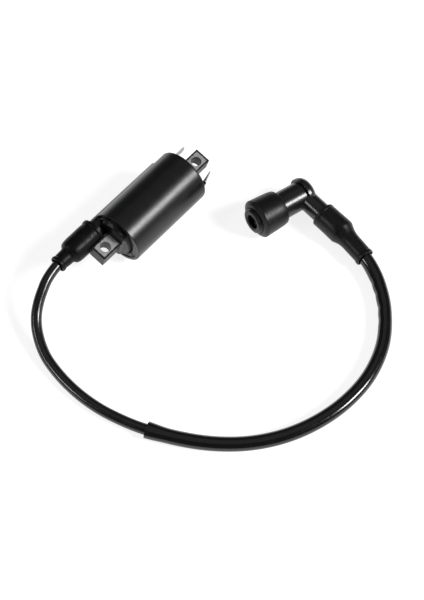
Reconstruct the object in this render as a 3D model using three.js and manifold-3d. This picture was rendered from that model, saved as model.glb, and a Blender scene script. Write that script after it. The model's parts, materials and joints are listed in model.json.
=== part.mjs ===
// Ignition coil with its high-tension lead and right-angle spark plug cap.
// Millimetres, +Z up. +X runs along the coil's core from the lead end to the terminal end, and the
// origin lies under the middle of the coil unit, on the surface that everything rests on.
import * as THREE from 'three';
import { mergeVertices } from 'three/addons/utils/BufferGeometryUtils.js';
import Module from 'manifold-3d';

const wasm = await Module();
wasm.setup();

// Driving dimensions of the coil unit
const GAP = 0.3;
const HOUSING_LENGTH = 65;
const NEAR_RADIUS = 18.95;
const FAR_RADIUS = 19.25;
const HOUSING_WALL = 2.15;
const FAR_WALL = 2.5;
const COIL_ROLL = THREE.MathUtils.degToRad(15.6);
const CORE_LENGTH = 103.2;
const CORE_WIDTH = 11.3;
const LAMINATION_COUNT = 5;
const LAMINATION_PITCH = 2;
const LAMINATION_THICKNESS = 1.9;
const BOLT_HOLE_RADIUS = 3.5;
const BOLT_HOLE_SPACING = 89;
const TOWER_OFFSET = 13.6;
const TOWER_RADIUS = 6.6;
const TOWER_END = -51;
const RIDGE_END = 23;
const SPIKE_RADIUS = 1.6;
const BLADE_WIDTH = 6.3;
const BLADE_THICKNESS = 0.8;
const BLADE_TIP = 44.4;
const BLADE_HEIGHT = 7;
const BLADE_BASE_WIDTH = 3.2;
const BLADE_BASE_HEIGHT = 8.7;
const BLADE_BASE_REACH = 3.2;
const LEFT_BLADE_Y = 10.8;
const RIGHT_BLADE_Y = -15;
const RIGHT_BLADE_LEAN = THREE.MathUtils.degToRad(20);

// Driving dimensions of the lead and its boots
const LEAD_RADIUS = 3.5;
const LEAD_BORE = 1.2;
const LEAD_CLEARANCE = 0.5;
const CONDUCTOR_RADIUS = 0.9;
const SLEEVE_OUTER = 4.45;
const SLEEVE_INNER = 3.95;
const TOWER_BOOT_START = -39.6;
const TOWER_BOOT_SHOULDER = -59.5;
const TOWER_BOOT_NECK = -63.5;
const TOWER_BOOT_END = -73.6;

// Driving dimensions of the plug cap: D distances run from the elbow towards the plug, A distances
// from the elbow along the arm towards the lead
const ELBOW = new THREE.Vector3(76.15, -67.05, 11);
const BARREL_AZIMUTH = THREE.MathUtils.degToRad(165.45);
const BARREL_RISE = THREE.MathUtils.degToRad(3.3);
const ARM_AZIMUTH = THREE.MathUtils.degToRad(-98.05);
const ARM_DROP = THREE.MathUtils.degToRad(2.9);
const NECK_AZIMUTH = THREE.MathUtils.degToRad(-103.4);
const NECK_DROP = THREE.MathUtils.degToRad(4);
const BARREL_RADIUS = 9.45;
const BARREL_FRONT = 31;
const BARREL_REAR = -2.2;
const PLUG_BORE_RADIUS = 5.6;
const PLUG_BORE_START = 12.7;
const CHAMBER_RADIUS = 3.6;
const SOCKET_RADIUS = 4.6;
const SOCKET_FRONT = 22;
const HEAD_RADIUS = 10.7;
const PLUG_BOOT_REAR = 19.1;
const PLUG_BOOT_SHOULDER = 36;
const PLUG_BOOT_LIP = 39.6;
const PLUG_BOOT_RADIUS = 13;
const PLUG_BOOT_REAR_RADIUS = 11.9;
const PLUG_BOOT_MOUTH_RADIUS = 4.9;
const ARM_RADIUS = 6.9;
const ARM_LENGTH = 31;
const LEAD_BOOT_START = 20.3;
const LEAD_BOOT_BEND = 37.7;
const LEAD_BOOT_RADIUS = 8.9;
const NECK_RADIUS = 6.3;
const LEAD_END = 15.3;

// Cutting tools run this far past the faces that they cut
const PAST = 1;

// Sides of a round piece
const FINE = 36;
const MEDIUM = 24;
const COARSE = 16;

const HALF_LENGTH = HOUSING_LENGTH / 2;
const CAVITY_RADIUS = NEAR_RADIUS - HOUSING_WALL;
const CAVITY_END = HALF_LENGTH - FAR_WALL;
const CORE_HEIGHT = LAMINATION_PITCH * LAMINATION_COUNT;
const BLADE_ROOT = CAVITY_END - 2.2;

// Materials
const look = (color, roughness, metalness = 0) => (
  new THREE.MeshStandardMaterial({ color, roughness, metalness })
);
const housingLook = () => look(0x17181a, 0.38);
const resinLook = () => look(0x101113, 0.25);
const nylonLook = () => look(0xc9c2ad, 0.6);
const copperLook = () => look(0xa85a32, 0.35, 1);
const steelLook = () => look(0x9a9c9e, 0.4, 1);
const brassLook = () => look(0xb8a15a, 0.35, 1);
const rubberLook = () => look(0x15161a, 0.75);
const phenolicLook = () => look(0x0d0d10, 0.12);
const ceramicLook = () => look(0xd8d2c4, 0.4);

// Solids: every shape is a closed mesh, joined or cut as a manifold
function toSolid(geometry) {
  const bare = geometry.clone();
  bare.deleteAttribute('normal');
  bare.deleteAttribute('uv');
  const merged = mergeVertices(bare, 1e-4);
  const mesh = new wasm.Mesh({
    numProp: 3,
    vertProperties: new Float32Array(merged.attributes.position.array),
    triVerts: new Uint32Array(merged.index.array),
  });
  return new wasm.Manifold(mesh);
}

function toGeometry(solid) {
  const mesh = solid.getMesh();
  const geometry = new THREE.BufferGeometry();
  geometry.setAttribute('position', new THREE.BufferAttribute(new Float32Array(mesh.vertProperties), 3));
  geometry.setIndex(new THREE.BufferAttribute(new Uint32Array(mesh.triVerts), 1));
  geometry.computeVertexNormals();
  return geometry;
}

// A profile of [axial, radius] points turned about the X axis, listed from low X to high X outside
function turned(profile, segments = MEDIUM) {
  const points = profile.map(([axial, radius]) => new THREE.Vector2(radius, axial));
  return new THREE.LatheGeometry(points, segments).rotateZ(-Math.PI / 2);
}

function rod(from, to, radius, segments = MEDIUM) {
  return turned([[from, 0], [from, radius], [to, radius], [to, 0]], segments);
}

function ring(from, to, inner, outer, segments = MEDIUM) {
  return turned([[from, inner], [from, outer], [to, outer], [to, inner], [from, inner]], segments);
}

function block(from, to, width, height, y = 0, z = 0) {
  return new THREE.BoxGeometry(to - from, width, height).translate((from + to) / 2, y, z);
}

// A quarter round from [axial, radius + size] to [axial + size, radius] and the like
function corner(axial, radius, size, startDegrees, endDegrees, steps = 4) {
  return Array.from({ length: steps + 1 }, (_, step) => {
    const angle = THREE.MathUtils.degToRad(startDegrees + ((endDegrees - startDegrees) * step) / steps);
    return [axial + size * Math.cos(angle), radius + size * Math.sin(angle)];
  });
}

// A round section for sweeping, as an outline or as a hole in one
function polygon(radius, sides, path = new THREE.Shape()) {
  for (let side = 0; side < sides; side += 1) {
    const angle = (2 * Math.PI * side) / sides;
    const x = radius * Math.cos(angle);
    const y = radius * Math.sin(angle);
    if (side === 0) {
      path.moveTo(x, y);
    } else {
      path.lineTo(x, y);
    }
  }
  path.closePath();
  return path;
}

function swept(path, steps, outer, inner, outerSides, innerSides) {
  const section = polygon(outer, outerSides);
  if (inner > 0) {
    section.holes.push(polygon(inner, innerSides, new THREE.Path()));
  }
  return new THREE.ExtrudeGeometry(section, { steps, bevelEnabled: false, extrudePath: path });
}

const group = new THREE.Group();
const coilUnit = new THREE.Group();
const towerGroup = new THREE.Group();

function addPart(parent, name, geometry, material) {
  const mesh = new THREE.Mesh(geometry, material);
  mesh.name = name;
  parent.add(mesh);
}

// The coil unit lies on its housing, turned a little about the core, and is centred over the origin
const towerReach = TOWER_OFFSET * Math.cos(COIL_ROLL) + TOWER_RADIUS;
coilUnit.position.set(0, (FAR_RADIUS - towerReach) / 2, FAR_RADIUS);
coilUnit.rotation.x = COIL_ROLL;
towerGroup.position.y = TOWER_OFFSET;
coilUnit.add(towerGroup);
group.add(coilUnit);

// The can, with the tower beside the core: a ridge along the can that runs out past its mouth
function housing() {
  const rimRound = 0.5;
  const farRound = 1.6;
  const ridgeRound = 0.4;
  const webThickness = 3;
  const towerFloor = -HALF_LENGTH - 1.5;
  const shell = toSolid(turned([
    [-HALF_LENGTH, 0],
    ...corner(-HALF_LENGTH + rimRound, NEAR_RADIUS - rimRound, rimRound, 180, 90, 2),
    ...corner(HALF_LENGTH - farRound, FAR_RADIUS - farRound, farRound, 90, 0, 4),
    [HALF_LENGTH, 0],
  ], FINE));
  const besideCore = (geometry) => toSolid(geometry.translate(0, TOWER_OFFSET, 0));
  const tower = besideCore(turned([
    [TOWER_END, 0],
    ...corner(TOWER_END + rimRound, TOWER_RADIUS - rimRound, rimRound, 180, 90, 2),
    ...corner(RIDGE_END - ridgeRound, TOWER_RADIUS - ridgeRound, ridgeRound, 90, 0, 2),
    [RIDGE_END, 0],
  ]));
  const cavity = toSolid(rod(-HALF_LENGTH - PAST, CAVITY_END, CAVITY_RADIUS, FINE));
  const web = besideCore(rod(-HALF_LENGTH - 2 * PAST, -HALF_LENGTH + webThickness, TOWER_RADIUS));
  const towerBore = besideCore(rod(TOWER_END - PAST, towerFloor, LEAD_RADIUS + LEAD_CLEARANCE));
  const contactBore = besideCore(
    rod(towerFloor - PAST, -HALF_LENGTH + webThickness + PAST, SPIKE_RADIUS + GAP, COARSE),
  );
  const coreSlot = toSolid(
    block(CAVITY_END - PAST, HALF_LENGTH + PAST, CORE_WIDTH + 2 * GAP, CORE_HEIGHT + 2 * GAP),
  );
  const baseEnd = HALF_LENGTH + BLADE_BASE_REACH;
  const slotThickness = BLADE_THICKNESS + 2 * GAP;
  const slotWidth = BLADE_WIDTH + 2 * GAP;
  let solid = shell.add(tower).subtract(cavity.subtract(web));
  for (const y of [LEFT_BLADE_Y, RIGHT_BLADE_Y]) {
    const base = block(CAVITY_END, baseEnd, BLADE_BASE_WIDTH, BLADE_BASE_HEIGHT, y, BLADE_HEIGHT);
    const slot = block(BLADE_ROOT - GAP, baseEnd + PAST, slotThickness, slotWidth, y, BLADE_HEIGHT);
    solid = solid.add(toSolid(base)).subtract(toSolid(slot));
  }
  for (const cut of [towerBore, contactBore, coreSlot]) {
    solid = solid.subtract(cut);
  }
  return toGeometry(solid);
}

// Closes the open end: a disc in the mouth with a raised boss around the core, clear of the tower
function endCap() {
  const discRise = 2.4;
  const discRadius = 16.1;
  const edge = 1.2;
  const plugDepth = 1.6;
  const bossRise = 3.8;
  const bossRadius = 13.8;
  const bossWidth = 21;
  const bossSide = 2.9;
  const behind = -HALF_LENGTH + plugDepth;
  const disc = toSolid(turned([
    [-HALF_LENGTH - discRise, 0],
    ...corner(-HALF_LENGTH - discRise + edge, discRadius - edge, edge, 180, 90, 3),
    [behind, CAVITY_RADIUS - 0.4],
    [behind, 0],
  ]));
  const cutFrom = -HALF_LENGTH - bossRise - PAST;
  const bossSides = block(cutFrom, -HALF_LENGTH + PAST, bossWidth, 2 * bossRadius + PAST, bossSide);
  const boss = toSolid(rod(-HALF_LENGTH - bossRise, -HALF_LENGTH, bossRadius))
    .intersect(toSolid(bossSides));
  const coreHole = toSolid(block(cutFrom, behind + PAST, CORE_WIDTH + 2 * GAP, CORE_HEIGHT + 2 * GAP));
  const towerRoom = toSolid(rod(cutFrom, behind + PAST, TOWER_RADIUS + GAP).translate(0, TOWER_OFFSET, 0));
  return toGeometry(disc.add(boss).subtract(coreHole).subtract(towerRoom));
}

// One sheet of the core, with a bolt hole in each ear
function lamination() {
  const sheet = toSolid(block(-CORE_LENGTH / 2, CORE_LENGTH / 2, CORE_WIDTH, LAMINATION_THICKNESS));
  const holes = [-1, 1].map((side) => toSolid(
    new THREE.CylinderGeometry(BOLT_HOLE_RADIUS, BOLT_HOLE_RADIUS, 2 * LAMINATION_THICKNESS, COARSE)
      .rotateX(Math.PI / 2)
      .translate((side * BOLT_HOLE_SPACING) / 2, 0, 0),
  ));
  return toGeometry(sheet.subtract(holes[0]).subtract(holes[1]));
}

// Windings and formers, from the core outwards
const WRAP_WALL = 0.5;
const WRAP_WIDTH = CORE_WIDTH + 2 * GAP;
const WRAP_HEIGHT = CORE_HEIGHT + 2 * GAP;
const WINDING_HALF = 26;
const FORMER_FLANGE = 1.4;
const PRIMARY_INNER = 10.4;
const PRIMARY_OUTER = 11.7;
const SECONDARY_TUBE_INNER = 12;
const SECONDARY_TUBE_OUTER = 12.8;
const SECONDARY_FLANGE = 15.3;
const SECTION_COUNT = 5;
const RESIN_INNER = 15.6;

function rectangularTube(from, to, width, height, wall) {
  const outside = toSolid(block(from, to, width + 2 * wall, height + 2 * wall));
  return toGeometry(outside.subtract(toSolid(block(from - PAST, to + PAST, width, height))));
}

function primaryFormer() {
  const tube = toSolid(turned([
    [-WINDING_HALF - FORMER_FLANGE, 0],
    [-WINDING_HALF - FORMER_FLANGE, PRIMARY_OUTER],
    [-WINDING_HALF, PRIMARY_OUTER],
    [-WINDING_HALF, PRIMARY_INNER - GAP],
    [WINDING_HALF, PRIMARY_INNER - GAP],
    [WINDING_HALF, PRIMARY_OUTER],
    [WINDING_HALF + FORMER_FLANGE, PRIMARY_OUTER],
    [WINDING_HALF + FORMER_FLANGE, 0],
  ]));
  const clearance = 2 * (WRAP_WALL + GAP);
  const hole = toSolid(block(-HALF_LENGTH, HALF_LENGTH, WRAP_WIDTH + clearance, WRAP_HEIGHT + clearance));
  return toGeometry(tube.subtract(hole));
}

const SECTION_PITCH = (2 * WINDING_HALF) / SECTION_COUNT;

function secondaryFormer() {
  const profile = [[-WINDING_HALF, SECONDARY_TUBE_INNER]];
  for (let flange = 0; flange <= SECTION_COUNT; flange += 1) {
    const middle = -WINDING_HALF + flange * SECTION_PITCH;
    const start = Math.max(middle - FORMER_FLANGE / 2, -WINDING_HALF);
    const end = Math.min(middle + FORMER_FLANGE / 2, WINDING_HALF);
    if (flange > 0) {
      profile.push([start, SECONDARY_TUBE_OUTER]);
    }
    profile.push([start, SECONDARY_FLANGE], [end, SECONDARY_FLANGE]);
    if (flange < SECTION_COUNT) {
      profile.push([end, SECONDARY_TUBE_OUTER]);
    }
  }
  profile.push([WINDING_HALF, SECONDARY_TUBE_INNER], [-WINDING_HALF, SECONDARY_TUBE_INNER]);
  return turned(profile);
}

// A spade blade standing in its base, leaning over beyond the base by the given angle
function terminalBlade(y, lean) {
  const bend = HALF_LENGTH + BLADE_BASE_REACH + 0.4;
  const latchRadius = 0.9;
  const reach = BLADE_TIP - bend;
  const half = BLADE_THICKNESS / 2;
  const tipX = bend + reach * Math.cos(lean);
  const tipY = y + reach * Math.sin(lean);
  const sideX = half * Math.sin(lean);
  const sideY = half * Math.cos(lean);
  const outline = new THREE.Shape();
  outline.moveTo(BLADE_ROOT, y - half);
  outline.lineTo(bend, y - half);
  outline.lineTo(tipX + sideX, tipY - sideY);
  outline.lineTo(tipX - sideX, tipY + sideY);
  outline.lineTo(bend, y + half);
  outline.lineTo(BLADE_ROOT, y + half);
  outline.closePath();
  const blade = new THREE.ExtrudeGeometry(outline, { depth: BLADE_WIDTH, bevelEnabled: false })
    .translate(0, 0, BLADE_HEIGHT - BLADE_WIDTH / 2);
  const hole = new THREE.CylinderGeometry(latchRadius, latchRadius, 6 * BLADE_THICKNESS, 12)
    .translate(bend + reach / 2, y + (reach / 2) * Math.tan(lean), BLADE_HEIGHT);
  return toGeometry(toSolid(blade).subtract(toSolid(hole)));
}

addPart(coilUnit, 'coil_housing', housing(), housingLook());
addPart(coilUnit, 'end_cap', endCap(), resinLook());
for (let sheet = 0; sheet < LAMINATION_COUNT; sheet += 1) {
  const height = (sheet - (LAMINATION_COUNT - 1) / 2) * LAMINATION_PITCH;
  addPart(coilUnit, `core_lamination_${sheet + 1}`, lamination().translate(0, 0, height), steelLook());
}
addPart(coilUnit, 'core_wrap',
  rectangularTube(-WINDING_HALF - 1, WINDING_HALF + 1, WRAP_WIDTH, WRAP_HEIGHT, WRAP_WALL), nylonLook());
addPart(coilUnit, 'primary_former', primaryFormer(), nylonLook());
addPart(coilUnit, 'primary_winding',
  ring(-WINDING_HALF + GAP, WINDING_HALF - GAP, PRIMARY_INNER, PRIMARY_OUTER), copperLook());
addPart(coilUnit, 'secondary_former', secondaryFormer(), nylonLook());
for (let section = 0; section < SECTION_COUNT; section += 1) {
  const start = -WINDING_HALF + section * SECTION_PITCH;
  const inset = FORMER_FLANGE / 2 + GAP;
  const end = start + SECTION_PITCH - inset;
  addPart(coilUnit, `secondary_winding_${section + 1}`,
    ring(start + inset, end, SECONDARY_TUBE_OUTER + GAP, SECONDARY_FLANGE - GAP), copperLook());
}
addPart(coilUnit, 'resin_filling',
  ring(-WINDING_HALF, WINDING_HALF, RESIN_INNER, CAVITY_RADIUS - GAP, FINE), resinLook());
addPart(coilUnit, 'terminal_blade_left', terminalBlade(LEFT_BLADE_Y, 0), brassLook());
addPart(coilUnit, 'terminal_blade_right', terminalBlade(RIGHT_BLADE_Y, RIGHT_BLADE_LEAN), brassLook());

// High-tension outlet: a spike through the tower's root that the lead is pushed onto, and its link
// to the secondary winding
const SPIKE_ROOT = -HALF_LENGTH + 3;

function contactSpike() {
  const shoulder = -HALF_LENGTH - 1.8;
  const pointLength = 6;
  const pointRadius = 0.8;
  return turned([
    [shoulder - pointLength, 0],
    [shoulder - pointLength + 1, pointRadius],
    [shoulder, pointRadius],
    [shoulder, SPIKE_RADIUS],
    [SPIKE_ROOT, SPIKE_RADIUS],
    [SPIKE_ROOT, 0],
  ], COARSE);
}

// The boot is flattened on one side where it passes the core's ear
function towerBoot() {
  const bore = LEAD_RADIUS + 1.05;
  const mouth = TOWER_RADIUS + 0.4;
  const radius = 8.35;
  const neckRadius = 5.6;
  const shoulderRound = 2;
  const lipStart = TOWER_BOOT_START - 3;
  const lipRise = 0.8;
  const lipEdge = 0.5;
  const body = toSolid(turned([
    [TOWER_BOOT_END, bore],
    [TOWER_BOOT_END, neckRadius - 0.6],
    [TOWER_BOOT_END + 0.4, neckRadius - 0.35],
    [TOWER_BOOT_NECK, neckRadius],
    [TOWER_BOOT_NECK + 0.8, neckRadius + 0.4],
    ...corner(TOWER_BOOT_SHOULDER, radius - shoulderRound - 0.05, shoulderRound, 170, 90, 4),
    [lipStart, radius],
    ...corner(lipStart + lipRise, radius - 0.35, lipRise, 160, 90, 2),
    ...corner(TOWER_BOOT_START - lipEdge, radius - 0.05, lipEdge, 90, 0, 2),
    [TOWER_BOOT_START, mouth],
    [TOWER_END - 2, mouth],
    [TOWER_END - 5, bore],
    [TOWER_BOOT_END, bore],
  ]));
  const earSide = CORE_WIDTH / 2 + GAP;
  const earRoom = toSolid(
    block(TOWER_BOOT_END, TOWER_BOOT_START + PAST, 2 * earSide, 4 * radius, -TOWER_OFFSET),
  );
  return toGeometry(body.subtract(earRoom));
}

addPart(towerGroup, 'tower_contact_spike', contactSpike(), brassLook());
addPart(towerGroup, 'tower_contact_link',
  rod(SPIKE_ROOT + GAP, -WINDING_HALF - GAP, 0.6, COARSE), copperLook());
addPart(towerGroup, 'tower_boot', towerBoot(), rubberLook());

// Primary tails join the winding's ends to the blades behind the far wall
function primaryTail(y) {
  const x = CAVITY_END - 1.5;
  const reach = 6;
  const drop = 1;
  const radius = 0.4;
  const side = Math.sign(y);
  const outer = y - side * (BLADE_THICKNESS / 2 + GAP);
  const path = new THREE.CatmullRomCurve3([
    new THREE.Vector3(x, outer - side * reach, BLADE_HEIGHT - drop),
    new THREE.Vector3(x, outer - (side * reach) / 2, BLADE_HEIGHT - 0.4 * drop),
    new THREE.Vector3(x, outer, BLADE_HEIGHT),
  ]);
  return swept(path, 6, radius, 0, 8, 0);
}

addPart(coilUnit, 'primary_tail_left', primaryTail(LEFT_BLADE_Y), copperLook());
addPart(coilUnit, 'primary_tail_right', primaryTail(RIGHT_BLADE_Y), copperLook());

// The lead: one smooth route from inside the tower, down onto the surface, round in a wide loop and
// up into the cap's arm. Points are in the part's frame.
const ROUTE = [
  [-34.6, 12.9, 22.9], [-48, 12.9, 22.9], [-62, 12.9, 22.9], [-74, 12.8, 22.8], [-85, 11, 21.6],
  [-92.1, 8.7, 19.3], [-98.6, 6.1, 16.4], [-104.7, 2.6, 13.2], [-109.9, -2.1, 10.3], [-114.2, -7.8, 7.8],
  [-117.8, -14.3, 5.9], [-120.6, -21.5, 4.7], [-123.7, -36.6, 3.7], [-124.9, -52.5, 3.6],
  [-124, -67.8, 3.6], [-121.1, -82.6, 3.7], [-117.2, -96.4, 4.4], [-108.8, -116.6, 4.8],
  [-97.7, -135.3, 4.8], [-83.8, -151.6, 4.8], [-66.8, -164.8, 4.8], [-47, -174.3, 4.8],
  [-24.6, -179.8, 4.8], [-0.9, -180.1, 4.8], [22.8, -173.5, 4.8], [43.6, -159.8, 4.8],
  [55.2, -147.2, 5.3], [61, -138.2, 6.1], [65, -128.9, 7.3], [67.4, -118.9, 8], [69.7, -109.2, 8.7],
  [71.2, -102, 9.2], [72.7, -91.8, 9.7], [74, -82.2, 10.2],
];
const LEAD_STEPS = 54;
const SLEEVE_FIRST_STEP = 21;
const SLEEVE_LAST_STEP = 49;
const CONDUCTOR_END_GAP = 6;
const LEAD_SIDES = 10;
const CONDUCTOR_SIDES = 6;

class Stretch extends THREE.Curve {
  constructor(route, from, to) {
    super();
    this.route = route;
    this.from = from;
    this.to = to;
  }

  getPoint(t, target = new THREE.Vector3()) {
    return this.route.getPointAt(THREE.MathUtils.lerp(this.from, this.to, t), target);
  }
}

const routePoints = ROUTE.map((point) => new THREE.Vector3(...point));
const route = new THREE.CatmullRomCurve3(routePoints, false, 'centripetal');
route.arcLengthDivisions = 2000;
const routeLength = route.getLength();
const sleevePath = new Stretch(route, SLEEVE_FIRST_STEP / LEAD_STEPS, SLEEVE_LAST_STEP / LEAD_STEPS);
const conductorInset = CONDUCTOR_END_GAP / routeLength;
const conductorPath = new Stretch(route, conductorInset, 1 - conductorInset);
const sleeveSteps = SLEEVE_LAST_STEP - SLEEVE_FIRST_STEP;

addPart(group, 'lead_jacket',
  swept(route, LEAD_STEPS, LEAD_RADIUS, LEAD_BORE, LEAD_SIDES, CONDUCTOR_SIDES), rubberLook());
addPart(group, 'lead_conductor',
  swept(conductorPath, LEAD_STEPS, CONDUCTOR_RADIUS, 0, CONDUCTOR_SIDES, 0), copperLook());
addPart(group, 'lead_sleeve',
  swept(sleevePath, sleeveSteps, SLEEVE_OUTER, SLEEVE_INNER, LEAD_SIDES, LEAD_SIDES), rubberLook());

// The plug cap stands on its plug boot's mouth, its lead boot and, almost, its head
const capGroup = new THREE.Group();
capGroup.position.copy(ELBOW);
group.add(capGroup);

const alongBarrel = (geometry) => geometry.rotateY(-BARREL_RISE).rotateZ(BARREL_AZIMUTH);
const alongArm = (geometry) => geometry.rotateY(ARM_DROP).rotateZ(ARM_AZIMUTH);

function capBody() {
  const edge = 0.6;
  const screwClearance = 1.6;
  const barrel = toSolid(alongBarrel(turned([
    [BARREL_REAR, 0],
    ...corner(BARREL_REAR + edge, BARREL_RADIUS - edge, edge, 180, 90, 2),
    ...corner(BARREL_FRONT - edge, BARREL_RADIUS - edge, edge, 90, 0, 2),
    [BARREL_FRONT, 0],
  ])));
  const arm = toSolid(alongArm(turned([
    [0, 0],
    [0, ARM_RADIUS],
    ...corner(ARM_LENGTH - edge, ARM_RADIUS - edge, edge, 90, 0, 2),
    [ARM_LENGTH, 0],
  ])));
  const roomWidth = 2 * BARREL_RADIUS;
  const roomSide = 5.2 - BARREL_RADIUS;
  const headRoom = toSolid(alongBarrel(
    block(BARREL_REAR - ARM_RADIUS, BARREL_REAR, roomWidth, 2 * roomWidth, roomSide),
  ));
  const plugBore = toSolid(alongBarrel(rod(PLUG_BORE_START, BARREL_FRONT + PAST, PLUG_BORE_RADIUS)));
  const chamber = toSolid(alongBarrel(rod(BARREL_REAR - PAST, PLUG_BORE_START + PAST, CHAMBER_RADIUS)));
  const leadBore = toSolid(
    alongArm(rod(LEAD_END - 1.4, ARM_LENGTH + PAST, LEAD_RADIUS + LEAD_CLEARANCE)),
  );
  const screwBore = toSolid(alongArm(rod(1, LEAD_END, screwClearance, COARSE)));
  let solid = barrel.add(arm);
  for (const cut of [headRoom, plugBore, chamber, leadBore, screwBore]) {
    solid = solid.subtract(cut);
  }
  return toGeometry(solid);
}

// Domed cover over the barrel's closed end, notched where the arm leaves
function headCover() {
  const rim = -0.4;
  const domeHeight = 5;
  const skirt = 1.2;
  const domeSteps = 5;
  const dome = Array.from({ length: domeSteps + 1 }, (_, step) => {
    const angle = (Math.PI / 2) * (step / domeSteps);
    return [rim - skirt - domeHeight * Math.cos(angle), HEAD_RADIUS * Math.sin(angle)];
  });
  const solid = toSolid(alongBarrel(turned([
    ...dome,
    [rim, HEAD_RADIUS],
    [rim, BARREL_RADIUS + GAP],
    [BARREL_REAR - GAP, BARREL_RADIUS + GAP],
    [BARREL_REAR - GAP, 0],
  ])));
  const armStart = 5;
  const armRoom = toSolid(alongArm(rod(armStart, 1.5 * HEAD_RADIUS, ARM_RADIUS + GAP)));
  return toGeometry(solid.subtract(armRoom));
}

function leadScrew() {
  const base = 3.7;
  const shankRadius = 1.25;
  const shoulder = LEAD_END - 1.8;
  return alongArm(turned([
    [base, 0],
    [base, shankRadius],
    [shoulder, shankRadius],
    [shoulder, 0.85],
    [shoulder + 6, 0.6],
    [shoulder + 7, 0],
  ], COARSE));
}

function contactSpring(from, to) {
  const turns = 3;
  const stepsPerTurn = 12;
  const radius = 2.3;
  const wireRadius = 0.35;
  const steps = turns * stepsPerTurn;
  const points = Array.from({ length: steps + 1 }, (_, step) => {
    const angle = (2 * Math.PI * step) / stepsPerTurn;
    const x = THREE.MathUtils.lerp(from, to, step / steps);
    return new THREE.Vector3(x, radius * Math.cos(angle), radius * Math.sin(angle));
  });
  return alongBarrel(swept(new THREE.CatmullRomCurve3(points), steps, wireRadius, 0, 6, 0));
}

// Grips the plug's terminal nut: a cup with a slightly tapered mouth
function plugSocket() {
  const back = PLUG_BORE_START + 0.4;
  const cupFloor = back + 1.3;
  return alongBarrel(turned([
    [back, 0],
    [back, SOCKET_RADIUS],
    [SOCKET_FRONT, SOCKET_RADIUS],
    [SOCKET_FRONT, SOCKET_RADIUS - 1],
    [cupFloor, SOCKET_RADIUS - 1.3],
    [cupFloor, 0],
  ]));
}

// A heavy boot with a raised ring around its mouth
function plugBoot() {
  const bore = BARREL_RADIUS + 0.4;
  const rearRound = 0.8;
  const frontRound = 1;
  const ringRadius = 8.4;
  const inside = BARREL_FRONT + 0.5;
  return alongBarrel(turned([
    [PLUG_BOOT_REAR, bore],
    ...corner(PLUG_BOOT_REAR + rearRound, PLUG_BOOT_REAR_RADIUS - rearRound, rearRound, 180, 95, 3),
    ...corner(PLUG_BOOT_SHOULDER - frontRound, PLUG_BOOT_RADIUS - frontRound, frontRound, 85, 10, 4),
    [PLUG_BOOT_LIP - 1.4, ringRadius + 0.6],
    ...corner(PLUG_BOOT_LIP - rearRound, ringRadius - rearRound, rearRound, 45, 0, 2),
    [PLUG_BOOT_LIP, PLUG_BOOT_MOUTH_RADIUS],
    [inside, PLUG_BOOT_MOUTH_RADIUS],
    [inside, bore],
    [PLUG_BOOT_REAR, bore],
  ]));
}

// A bent sleeve of rubber: a wide end over the arm, a cone, and a neck turned a little from the arm
function leadBoot() {
  const intoNeck = (geometry) => {
    const turnedAside = geometry.rotateY(NECK_DROP - ARM_DROP).rotateZ(NECK_AZIMUTH - ARM_AZIMUTH);
    return alongArm(turnedAside.translate(LEAD_BOOT_BEND, 0, 0));
  };
  const edge = 0.7;
  const coneEnd = 9.5;
  const neckEnd = 25;
  const bead = 0.6;
  const overlap = 1.5;
  const armClearance = 0.7;
  const neckClearance = 0.95;
  const wide = toSolid(alongArm(turned([
    [LEAD_BOOT_START, 0],
    ...corner(LEAD_BOOT_START + edge, LEAD_BOOT_RADIUS - edge, edge, 180, 90, 3),
    [LEAD_BOOT_BEND + 0.3, LEAD_BOOT_RADIUS],
    [LEAD_BOOT_BEND + 0.3, 0],
  ])));
  const neck = toSolid(intoNeck(turned([
    [-overlap, 0],
    [-overlap, LEAD_BOOT_RADIUS - 0.05],
    [0.4, LEAD_BOOT_RADIUS],
    [1.3, LEAD_BOOT_RADIUS - 0.3],
    [coneEnd, NECK_RADIUS + 0.1],
    [coneEnd + edge, NECK_RADIUS],
    [neckEnd - 5 * bead, NECK_RADIUS - 0.1],
    ...corner(neckEnd - 3 * bead, NECK_RADIUS - bead / 2, bead, 150, 90, 2),
    ...corner(neckEnd - bead, NECK_RADIUS - bead / 2, bead, 90, 0, 2),
    [neckEnd, 0],
  ])));
  const armBore = toSolid(
    alongArm(rod(LEAD_BOOT_START - PAST, ARM_LENGTH + overlap, ARM_RADIUS + armClearance)),
  );
  const leadBore = toSolid(
    intoNeck(rod(ARM_LENGTH - LEAD_BOOT_BEND, neckEnd + PAST, SLEEVE_OUTER + neckClearance)),
  );
  return toGeometry(wide.add(neck).subtract(armBore).subtract(leadBore));
}

addPart(capGroup, 'cap_body', capBody(), phenolicLook());
addPart(capGroup, 'cap_head_cover', headCover(), phenolicLook());
addPart(capGroup, 'cap_contact_block',
  alongBarrel(rod(BARREL_REAR, 2.7, CHAMBER_RADIUS - 0.4, COARSE)), brassLook());
addPart(capGroup, 'cap_lead_screw', leadScrew(), brassLook());
addPart(capGroup, 'cap_resistor',
  alongBarrel(rod(3, 9, CHAMBER_RADIUS - 0.9, COARSE)), ceramicLook());
addPart(capGroup, 'cap_spring', contactSpring(9.8, 12.3), steelLook());
addPart(capGroup, 'cap_plug_socket', plugSocket(), brassLook());
addPart(capGroup, 'plug_boot', plugBoot(), rubberLook());
addPart(capGroup, 'lead_boot', leadBoot(), rubberLook());

export default group;
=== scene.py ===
import json
import math

import bmesh
import bpy
from mathutils import Matrix, Vector, noise


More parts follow.
